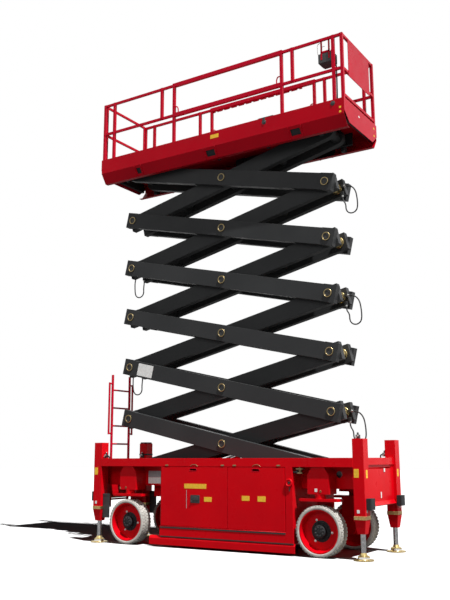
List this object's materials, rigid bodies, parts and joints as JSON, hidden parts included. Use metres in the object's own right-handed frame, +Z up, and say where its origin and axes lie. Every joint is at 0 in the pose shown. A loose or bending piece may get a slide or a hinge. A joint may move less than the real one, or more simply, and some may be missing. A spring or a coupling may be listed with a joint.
{
  "type": "scissor lift",
  "caption": "Self-propelled slab scissor lift: tall stack of crossed box arms raises a railed platform with sliding decks; steered wheels and levelling jacks at every corner.",
  "frame": {"origin": "on the floor, under the middle of the machine's overall box", "axes": "+X along the machine to the panelled end of the platform, away from the ladder; +Y to the machine's left side; +Z up"},
  "size_m": [4.3302, 1.285, 6.7499],
  "materials": {
    "scissor_steel": "satin",
    "body_red": "gloss",
    "deck_red": "satin",
    "rail_red": "satin",
    "chrome_rod": "polished",
    "grey_tyre": "matt",
    "black_case": "matt",
    "dark_steel": "satin"
  },
  "bodies": {
    "chassis": {"chassis_frame": "body_red", "side_beams": "body_red", "spine": "body_red", "end_plates": "body_red", "jack_posts": "body_red", "side_trays": "body_red", "battery_packs": "black_case", "power_units": "black_case", "bumpers": "black_case", "ladder": "rail_red", "hydraulic_fittings": "black_case"},
    "inner_arms_1": {"scissor_inner_1": "scissor_steel", "cable_loop_1": "black_case"},
    "outer_arms_1": {"scissor_outer_1": "scissor_steel"},
    "inner_arms_2": {"scissor_inner_2": "scissor_steel"},
    "outer_arms_2": {"scissor_outer_2": "scissor_steel"},
    "inner_arms_3": {"scissor_inner_3": "scissor_steel", "cable_loop_2": "black_case", "cable_loop_3": "black_case"},
    "outer_arms_3": {"scissor_outer_3": "scissor_steel"},
    "inner_arms_4": {"scissor_inner_4": "scissor_steel"},
    "outer_arms_4": {"scissor_outer_4": "scissor_steel"},
    "inner_arms_5": {"scissor_inner_5": "scissor_steel", "cable_loop_4": "black_case", "cable_loop_5": "black_case"},
    "outer_arms_5": {"scissor_outer_5": "scissor_steel"},
    "inner_arms_6": {"scissor_inner_6": "scissor_steel"},
    "outer_arms_6": {"scissor_outer_6": "scissor_steel"},
    "platform": {"platform_deck": "deck_red", "platform_fascias": "deck_red", "platform_bearers": "deck_red", "platform_rails": "rail_red"},
    "front_deck": {"front_extension": "rail_red", "control_box": "black_case"},
    "rear_deck": {"rear_extension": "rail_red"},
    "gate": {"entry_gate": "rail_red"},
    "cylinder_barrel": {"lift_cylinder_barrel": "dark_steel"},
    "cylinder_rod": {"lift_cylinder_rod": "chrome_rod"},
    "steer_rear_right": {"knuckle_rear_right": "body_red"},
    "wheel_rear_right": {"rim_rear_right": "body_red", "tyre_rear_right": "grey_tyre"},
    "jack_rear_right": {"jack_leg_rear_right": "chrome_rod"},
    "steer_rear_left": {"knuckle_rear_left": "body_red"},
    "wheel_rear_left": {"rim_rear_left": "body_red", "tyre_rear_left": "grey_tyre"},
    "jack_rear_left": {"jack_leg_rear_left": "chrome_rod"},
    "steer_front_right": {"knuckle_front_right": "body_red"},
    "wheel_front_right": {"rim_front_right": "body_red", "tyre_front_right": "grey_tyre"},
    "jack_front_right": {"jack_leg_front_right": "chrome_rod"},
    "steer_front_left": {"knuckle_front_left": "body_red"},
    "wheel_front_left": {"rim_front_left": "body_red", "tyre_front_left": "grey_tyre"},
    "jack_front_left": {"jack_leg_front_left": "chrome_rod"},
    "door_rear_right": {"door_rear_right": "body_red"},
    "door_front_right": {"door_front_right": "body_red"},
    "door_rear_left": {"door_rear_left": "body_red"},
    "door_front_left": {"door_front_left": "body_red"}
  },
  "joints": [
    {"name": "lift", "type": "hinge", "parent": "chassis", "child": "inner_arms_1", "pos_m": [-1.72115, 0, 0.985], "axis": [0, -1, 0], "range_deg": [-8.5, 48.9]},
    {"name": "cross_1", "type": "hinge", "parent": "inner_arms_1", "child": "outer_arms_1", "pos_m": [-0.08, 0, 1.36691], "axis": [0, -1, 0], "range_deg": [-98, 17.2]},
    {"name": "fold_1", "type": "hinge", "parent": "outer_arms_1", "child": "inner_arms_2", "pos_m": [-1.72115, 0, 1.74882], "axis": [0, -1, 0], "range_deg": [-17.2, 98]},
    {"name": "cross_2", "type": "hinge", "parent": "inner_arms_2", "child": "outer_arms_2", "pos_m": [-0.08, 0, 2.13072], "axis": [0, -1, 0], "range_deg": [-98, 17.2]},
    {"name": "fold_2", "type": "hinge", "parent": "outer_arms_2", "child": "inner_arms_3", "pos_m": [-1.72115, 0, 2.51263], "axis": [0, -1, 0], "range_deg": [-17.2, 98]},
    {"name": "cross_3", "type": "hinge", "parent": "inner_arms_3", "child": "outer_arms_3", "pos_m": [-0.08, 0, 2.89454], "axis": [0, -1, 0], "range_deg": [-98, 17.2]},
    {"name": "fold_3", "type": "hinge", "parent": "outer_arms_3", "child": "inner_arms_4", "pos_m": [-1.72115, 0, 3.27644], "axis": [0, -1, 0], "range_deg": [-17.2, 98]},
    {"name": "cross_4", "type": "hinge", "parent": "inner_arms_4", "child": "outer_arms_4", "pos_m": [-0.08, 0, 3.65835], "axis": [0, -1, 0], "range_deg": [-98, 17.2]},
    {"name": "fold_4", "type": "hinge", "parent": "outer_arms_4", "child": "inner_arms_5", "pos_m": [-1.72115, 0, 4.04026], "axis": [0, -1, 0], "range_deg": [-17.2, 98]},
    {"name": "cross_5", "type": "hinge", "parent": "inner_arms_5", "child": "outer_arms_5", "pos_m": [-0.08, 0, 4.42217], "axis": [0, -1, 0], "range_deg": [-98, 17.2]},
    {"name": "fold_5", "type": "hinge", "parent": "outer_arms_5", "child": "inner_arms_6", "pos_m": [-1.72115, 0, 4.80408], "axis": [0, -1, 0], "range_deg": [-17.2, 98]},
    {"name": "cross_6", "type": "hinge", "parent": "inner_arms_6", "child": "outer_arms_6", "pos_m": [-0.08, 0, 5.18598], "axis": [0, -1, 0], "range_deg": [-98, 17.2]},
    {"name": "platform_level", "type": "hinge", "parent": "outer_arms_6", "child": "platform", "pos_m": [-1.72115, 0, 5.56789], "axis": [0, -1, 0], "range_deg": [-8.6, 49]},
    {"name": "cylinder_swing", "type": "hinge", "parent": "chassis", "child": "cylinder_barrel", "pos_m": [-1.15015, 0, 0.8], "axis": [0, -1, 0], "range_deg": [-10.1, 57.6]},
    {"name": "cylinder_stroke", "type": "slide", "parent": "cylinder_barrel", "child": "cylinder_rod", "axis": [0.9421, 0, 0.3353], "range_m": [-0.0731, 0.4201]},
    {"name": "steer_rear_right", "type": "hinge", "parent": "chassis", "child": "steer_rear_right", "pos_m": [-1.48515, -0.505, 0.655], "axis": [0, 0, 1], "range_deg": [-35, 35]},
    {"name": "roll_rear_right", "type": "hinge", "parent": "steer_rear_right", "child": "wheel_rear_right", "pos_m": [-1.48515, -0.505, 0.305], "axis": [0, 1, 0], "continuous": true},
    {"name": "jack_rear_right", "type": "slide", "parent": "chassis", "child": "jack_rear_right", "axis": [0, 0, 1], "range_m": [-0.12, 0.18]},
    {"name": "steer_rear_left", "type": "hinge", "parent": "chassis", "child": "steer_rear_left", "pos_m": [-1.48515, 0.505, 0.655], "axis": [0, 0, 1], "range_deg": [-35, 35]},
    {"name": "roll_rear_left", "type": "hinge", "parent": "steer_rear_left", "child": "wheel_rear_left", "pos_m": [-1.48515, 0.505, 0.305], "axis": [0, 1, 0], "continuous": true},
    {"name": "jack_rear_left", "type": "slide", "parent": "chassis", "child": "jack_rear_left", "axis": [0, 0, 1], "range_m": [-0.12, 0.18]},
    {"name": "steer_front_right", "type": "hinge", "parent": "chassis", "child": "steer_front_right", "pos_m": [1.48515, -0.505, 0.655], "axis": [0, 0, 1], "range_deg": [-35, 35]},
    {"name": "roll_front_right", "type": "hinge", "parent": "steer_front_right", "child": "wheel_front_right", "pos_m": [1.48515, -0.505, 0.305], "axis": [0, 1, 0], "continuous": true},
    {"name": "jack_front_right", "type": "slide", "parent": "chassis", "child": "jack_front_right", "axis": [0, 0, 1], "range_m": [-0.12, 0.18]},
    {"name": "steer_front_left", "type": "hinge", "parent": "chassis", "child": "steer_front_left", "pos_m": [1.48515, 0.505, 0.655], "axis": [0, 0, 1], "range_deg": [-35, 35]},
    {"name": "roll_front_left", "type": "hinge", "parent": "steer_front_left", "child": "wheel_front_left", "pos_m": [1.48515, 0.505, 0.305], "axis": [0, 1, 0], "continuous": true},
    {"name": "jack_front_left", "type": "slide", "parent": "chassis", "child": "jack_front_left", "axis": [0, 0, 1], "range_m": [-0.12, 0.18]},
    {"name": "open_door_rear_right", "type": "hinge", "parent": "chassis", "child": "door_rear_right", "pos_m": [-0.87265, -0.5875, 0.67], "axis": [0, 0, -1], "range_deg": [0, 100]},
    {"name": "open_door_front_right", "type": "hinge", "parent": "chassis", "child": "door_front_right", "pos_m": [1.03265, -0.5875, 0.67], "axis": [0, 0, 1], "range_deg": [0, 100]},
    {"name": "open_door_rear_left", "type": "hinge", "parent": "chassis", "child": "door_rear_left", "pos_m": [-0.87265, 0.5875, 0.67], "axis": [0, 0, 1], "range_deg": [0, 100]},
    {"name": "open_door_front_left", "type": "hinge", "parent": "chassis", "child": "door_front_left", "pos_m": [1.03265, 0.5875, 0.67], "axis": [0, 0, -1], "range_deg": [0, 100]},
    {"name": "extend_front", "type": "slide", "parent": "platform", "child": "front_deck", "axis": [1, 0, 0], "range_m": [0, 0.78]},
    {"name": "extend_rear", "type": "slide", "parent": "platform", "child": "rear_deck", "axis": [-1, 0, 0], "range_m": [0, 0.78]},
    {"name": "open_gate", "type": "hinge", "parent": "rear_deck", "child": "gate", "pos_m": [-2.14015, 0.466, 6.2], "axis": [0, 0, 1], "range_deg": [0, 90], "stiffness_Nm_per_rad": 20}
  ],
  "couplings": [
    {"joint": "cross_1", "follows": "lift", "ratio": -2},
    {"joint": "fold_1", "follows": "lift", "ratio": 2},
    {"joint": "cross_2", "follows": "lift", "ratio": -2},
    {"joint": "fold_2", "follows": "lift", "ratio": 2},
    {"joint": "cross_3", "follows": "lift", "ratio": -2},
    {"joint": "fold_3", "follows": "lift", "ratio": 2},
    {"joint": "cross_4", "follows": "lift", "ratio": -2},
    {"joint": "fold_4", "follows": "lift", "ratio": 2},
    {"joint": "cross_5", "follows": "lift", "ratio": -2},
    {"joint": "fold_5", "follows": "lift", "ratio": 2},
    {"joint": "cross_6", "follows": "lift", "ratio": -2},
    {"joint": "platform_level", "follows": "lift", "ratio": 1},
    {"joint": "cylinder_swing", "follows": "lift", "ratio": 1.1767},
    {"joint": "cylinder_stroke", "follows": "lift", "m_per_rad": 0.4921},
    {"joint": "steer_rear_left", "follows": "steer_rear_right", "ratio": 1},
    {"joint": "steer_front_left", "follows": "steer_front_right", "ratio": 1}
  ]
}
